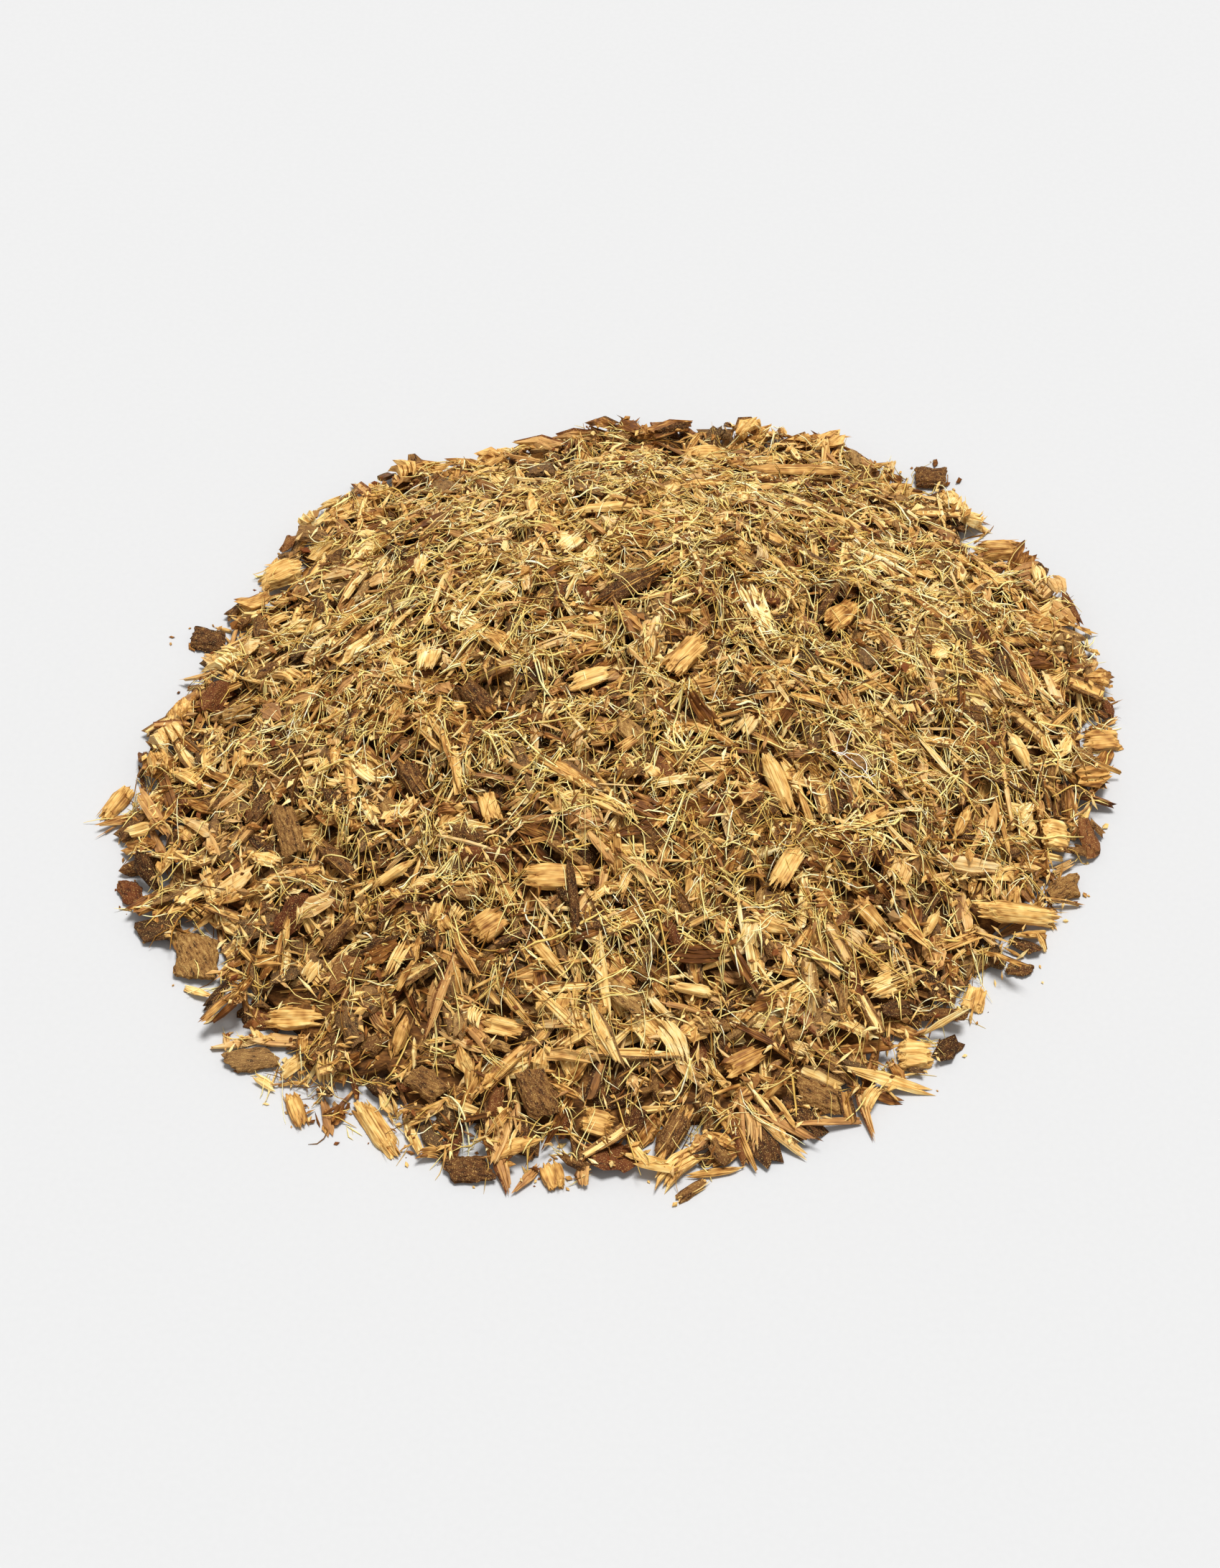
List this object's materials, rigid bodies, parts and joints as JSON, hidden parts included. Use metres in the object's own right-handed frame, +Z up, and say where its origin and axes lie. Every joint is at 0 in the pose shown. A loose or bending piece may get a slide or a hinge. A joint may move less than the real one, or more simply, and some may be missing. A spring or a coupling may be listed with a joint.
{
  "type": "heap of cut and sifted licorice root",
  "caption": "Low poured heap of dried root cut into small shreds: pale yellow wood chips, grey-brown bark flakes, split sticks, splinters and loose fibres, with stray pieces round its edge.",
  "frame": {"origin": "middle of the underside, under the middle of the whole object's box; the heap stands on z = 0", "axes": "+Z up; +X along the longer side, to the right as the heap is seen; +Y away from the viewer"},
  "size_m": [0.2042, 0.1944, 0.0381],
  "materials": {
    "shreds": "dry fibrous shreds in ochre, tan and brown, matt, with dark gaps between them",
    "pale_wood": "dry split root wood, straw yellow with lengthwise grain, matt",
    "dark_bark": "dry wrinkled root bark, grey-brown with pale flecks, matt",
    "barked_wood": "root cut lengthways, brown bark outside and yellow wood at the split, matt",
    "yellow_wood": "bright yellow root fibre and thin splinters, slightly glossy along the grain",
    "cream_fibre": "soft cream pith fibre, frayed, matt"
  },
  "bodies": {
    "root": {"shred_heap": "shreds", "wood_chip_01": "pale_wood", "wood_chip_02": "pale_wood", "wood_chip_03": "pale_wood", "wood_chip_04": "pale_wood", "wood_chip_05": "pale_wood", "wood_chip_06": "pale_wood", "wood_chip_07": "pale_wood", "wood_chip_08": "pale_wood", "wood_chip_09": "pale_wood", "wood_chip_10": "pale_wood", "wood_chip_11": "pale_wood", "wood_chip_12": "pale_wood", "wood_chip_13": "pale_wood", "wood_chip_14": "pale_wood", "wood_chip_15": "pale_wood", "wood_chip_16": "pale_wood", "wood_chip_17": "pale_wood", "wood_chip_18": "pale_wood", "bark_flake_01": "dark_bark", "bark_flake_02": "dark_bark", "bark_flake_03": "dark_bark", "bark_flake_04": "dark_bark", "bark_flake_05": "dark_bark", "bark_flake_06": "dark_bark", "bark_flake_07": "dark_bark", "bark_flake_08": "dark_bark", "bark_flake_09": "dark_bark", "bark_flake_10": "dark_bark", "bark_flake_11": "dark_bark", "bark_flake_12": "dark_bark", "bark_flake_13": "dark_bark", "root_stick_01": "barked_wood", "root_stick_02": "barked_wood", "root_stick_03": "barked_wood", "root_stick_04": "barked_wood", "root_stick_05": "barked_wood", "root_stick_06": "barked_wood", "root_stick_07": "barked_wood", "root_stick_08": "barked_wood", "root_stick_09": "barked_wood", "root_stick_10": "barked_wood", "root_stick_11": "barked_wood", "root_stick_12": "barked_wood", "root_stick_13": "barked_wood", "root_stick_14": "barked_wood", "root_stick_15": "barked_wood", "root_stick_16": "barked_wood", "splinter_01": "yellow_wood", "splinter_02": "yellow_wood", "splinter_03": "yellow_wood", "splinter_04": "yellow_wood", "splinter_05": "yellow_wood", "splinter_06": "yellow_wood", "splinter_07": "yellow_wood", "splinter_08": "yellow_wood", "fibre_tuft_01": "cream_fibre", "fibre_tuft_02": "cream_fibre", "fibre_tuft_03": "cream_fibre"}
  },
  "joints": []
}
